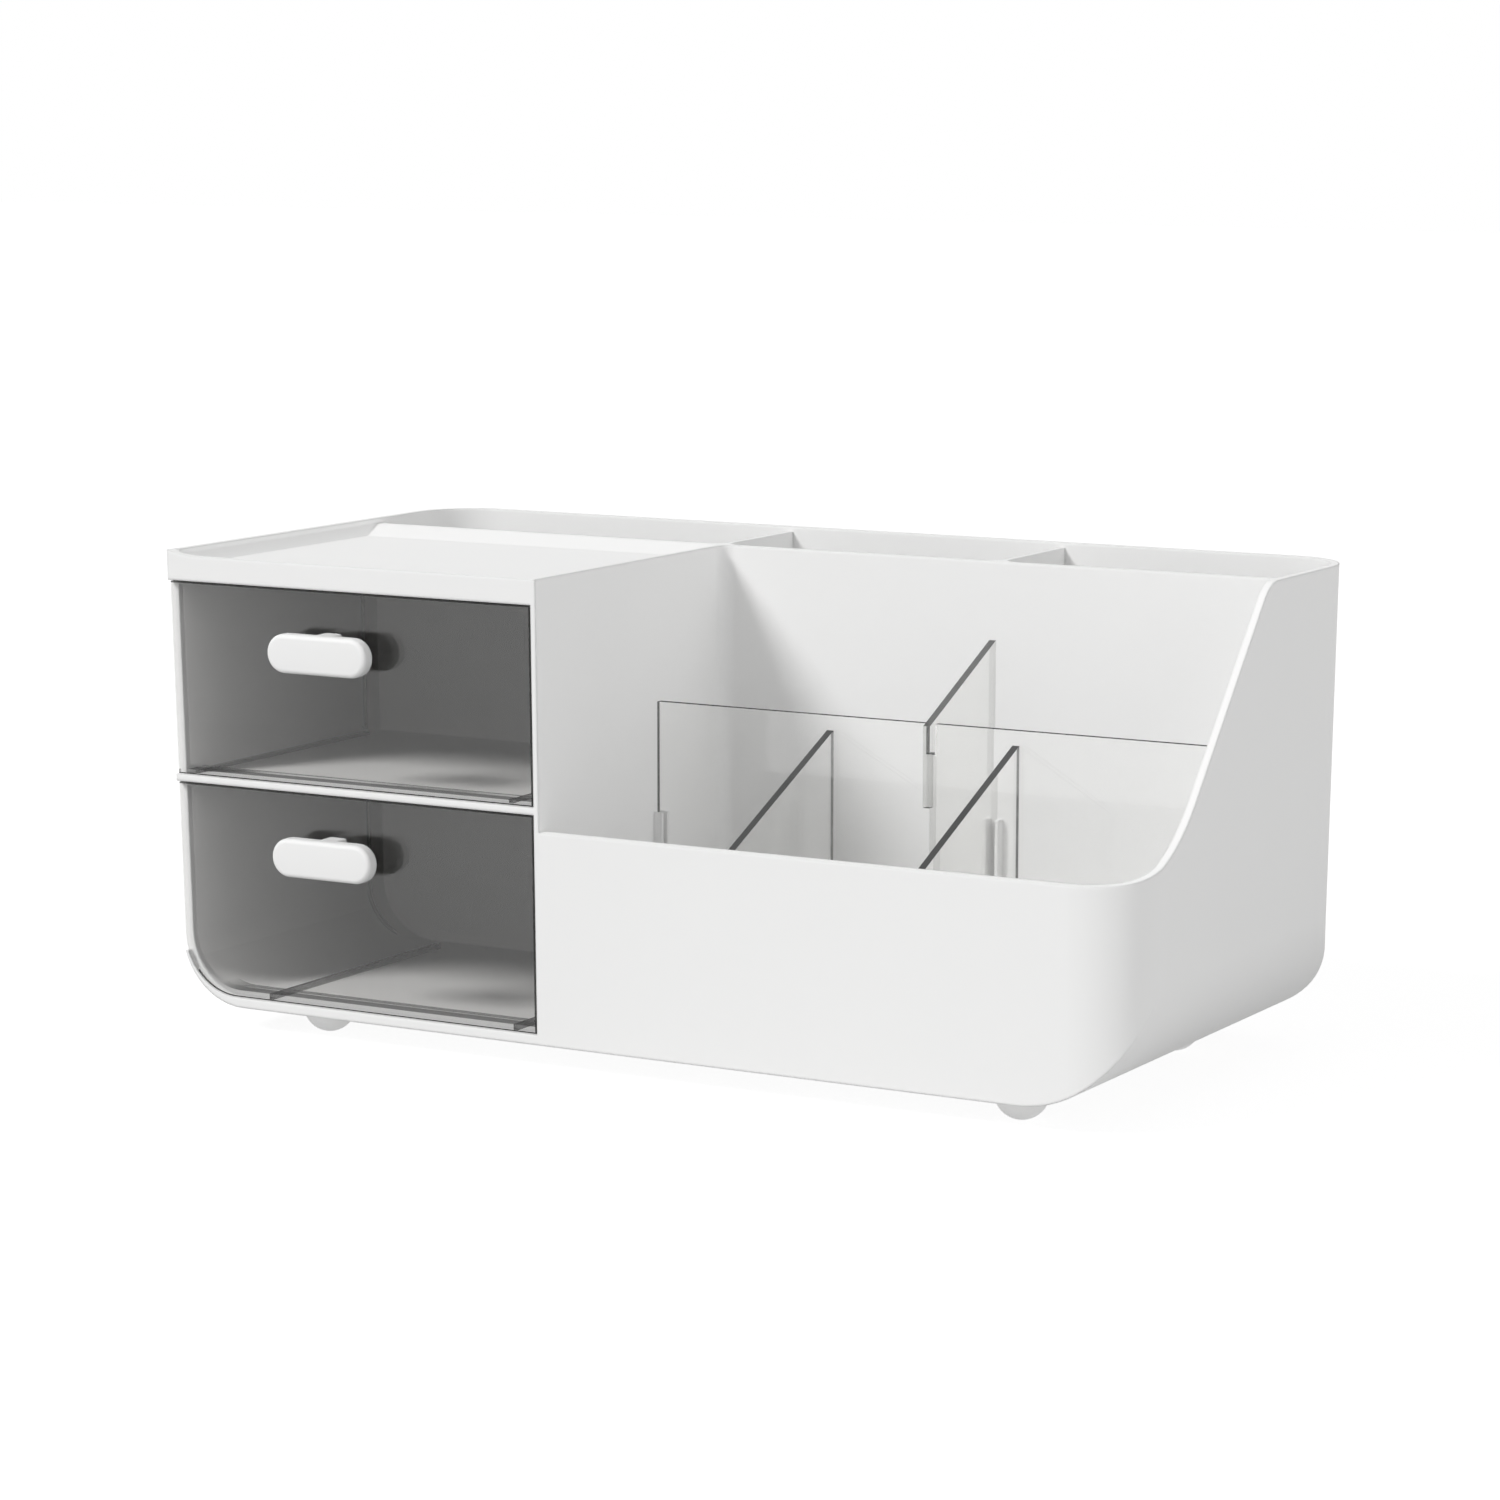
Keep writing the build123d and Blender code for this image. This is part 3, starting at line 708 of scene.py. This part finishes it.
# %% Two grips from the tree
def make_grip(node, body):
    low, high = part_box(node)
    maker = bpy.data.objects.new(node + "_maker", bpy.data.meshes.new(node + "_seed"))
    bpy.context.scene.collection.objects.link(maker)
    modifier = maker.modifiers.new("grip", "NODES")
    modifier.node_group = grip_tree
    for name, value in grip_sizes(low, high).items():
        modifier[grip_inputs[name]] = value
    evaluated = maker.evaluated_get(bpy.context.evaluated_depsgraph_get())
    mesh = bpy.data.meshes.new_from_object(evaluated)
    bpy.data.objects.remove(maker)
    grip = bpy.data.objects.new(node + "_soft", mesh)
    bpy.context.scene.collection.objects.link(grip)
    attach(grip, body)
    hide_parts(node)
    bpy.context.view_layer.update()
    lowest = [min(vertex.co[axis] for vertex in mesh.vertices) for axis in range(3)]
    print(grip.name, "faces", len(mesh.polygons), "lowest corner", in_mm(lowest), "solid", in_mm(low))


make_grip("upper_handle", "upper_drawer")
make_grip("lower_handle", "lower_drawer")

# %% [markdown]
# ## Floor and light
# The photograph is a cut-out on pure white. A bent backdrop would show its edge in low views, so the
# floor is one wide plate and the world is white. The floor takes the object's soft shadow, and for what
# the camera sees straight, in a reflection or through clear plastic it is lifted to white. Light that has
# bounced off a matte face sees a dimmer floor, so it doesn't glare up into the drawers. Under the object
# the floor has a painted glow that the camera doesn't see straight: it is no lamp, and it lights the
# feet.

# %% Floor plate
floor_half = 6.0
floor_mesh = bpy.data.meshes.new("floor")
corner_signs = ((-1, -1), (1, -1), (1, 1), (-1, 1))
floor_corners = [(x * floor_half, y * floor_half, 0) for x, y in corner_signs]
floor_mesh.from_pydata(floor_corners, [], [(0, 1, 2, 3)])
floor = bpy.data.objects.new("floor", floor_mesh)
bpy.context.scene.collection.objects.link(floor)
print("floor", 2 * floor_half, "metres wide")


# %% Where the white background shows
def seen_directly(tree):
    path = tree.nodes.new("ShaderNodeLightPath")
    clear_view = either(tree, path.outputs["Is Camera Ray"], path.outputs["Is Transmission Ray"])
    clear_view = either(tree, clear_view, path.outputs["Is Glossy Ray"])
    no_bounce = below(tree, path.outputs["Diffuse Depth"], 0.5)
    return times(tree, clear_view, no_bounce)


# %% Finish of the floor
floor_grain_mm, floor_rough_low, floor_rough_high = 3, 0.8, 0.95
floor_grey, floor_grey_seen = 0.45, 0.25
lift_bounced, lift_seen, feet_glow = 0.13, 0.86, 0.18
glow_margin_x, glow_margin_y = 0.030, 0.006
glow_half_x, glow_half_y = cad_high.x - glow_margin_x, cad_high.y - glow_margin_y
floor_pale, tree, shader, place = start_material("floor_pale")
shader.inputs["Specular IOR Level"].default_value = 0.0
floor_grain = add_noise(tree, place, floor_grain_mm)
tree.links.new(spread(tree, floor_grain, floor_rough_low, floor_rough_high), shader.inputs["Roughness"])
direct = seen_directly(tree)
floor_colour = mix_colours(tree, direct, grey(floor_grey), grey(floor_grey_seen))
tree.links.new(floor_colour, shader.inputs["Base Color"])
lift_range = tree.nodes.new("ShaderNodeMapRange")
lift_range.inputs["To Min"].default_value = lift_bounced
lift_range.inputs["To Max"].default_value = lift_seen
tree.links.new(direct, lift_range.inputs["Value"])
spot = split_axes(tree, place)
under_object = times(tree, within(tree, spot["X"], glow_half_x), within(tree, spot["Y"], glow_half_y))
# Painted glow under the object: no lamp, seen only by bounced light, it lights the feet
glow = times(tree, without(tree, under_object, direct), feet_glow)
lift = tree.nodes.new("ShaderNodeEmission")
tree.links.new(new_math(tree, "ADD", lift_range.outputs["Result"], glow), lift.inputs["Strength"])
lit_floor = tree.nodes.new("ShaderNodeAddShader")
tree.links.new(shader.outputs["BSDF"], lit_floor.inputs[0])
tree.links.new(lift.outputs["Emission"], lit_floor.inputs[1])
tree.links.new(lit_floor.outputs["Shader"], tree.nodes["Material Output"].inputs["Surface"])
floor_mesh.materials.append(floor_pale)
print("floor finish", floor_pale.name)

# %% [markdown]
# A key light comes from the upper left in front of the object, and a wide weaker one from the right in
# front of it, which reaches into the drawers as far as their left walls. Area lamps would do too, but a
# sun lights every part alike, which is easier to set against the photograph. An even surround fills the
# shadows, a little brighter overhead.


# %% Two lamps
def add_sun(name, travel, energy, angle):
    data = bpy.data.lights.new(name, "SUN")
    data.energy = energy
    data.angle = radians(angle)
    lamp = bpy.data.objects.new(name, data)
    lamp.rotation_mode = "QUATERNION"
    lamp.rotation_quaternion = Vector(travel).to_track_quat("-Z", "Y")
    bpy.context.scene.collection.objects.link(lamp)
    print(name, "energy", energy, "travels", travel)


add_sun("key_light", travel=(0.42, 0.66, -0.62), energy=1.88, angle=16)
add_sun("side_light", travel=(-0.94, 0.14, -0.30), energy=0.77, angle=60)

# %% Surround
fill_level, fill_upward = 0.44, 0.05
surround = bpy.data.worlds.new("surround")
surround.use_nodes = True
bpy.context.scene.world = surround
tree = surround.node_tree
fill = tree.nodes["Background"]
white = tree.nodes.new("ShaderNodeBackground")
for background in (fill, white):
    background.inputs["Color"].default_value = (1, 1, 1, 1)
white.inputs["Strength"].default_value = 1.0
direction = tree.nodes.new("ShaderNodeTexCoord")
upwards = times(tree, split_axes(tree, direction.outputs["Generated"])["Z"], fill_upward)
tree.links.new(new_math(tree, "ADD", upwards, fill_level), fill.inputs["Strength"])
surface = mix_shaders(tree, seen_directly(tree), fill.outputs["Background"], white.outputs["Background"])
tree.links.new(surface, tree.nodes["World Output"].inputs["Surface"])
print("surround level", fill_level, "rise overhead", fill_upward)
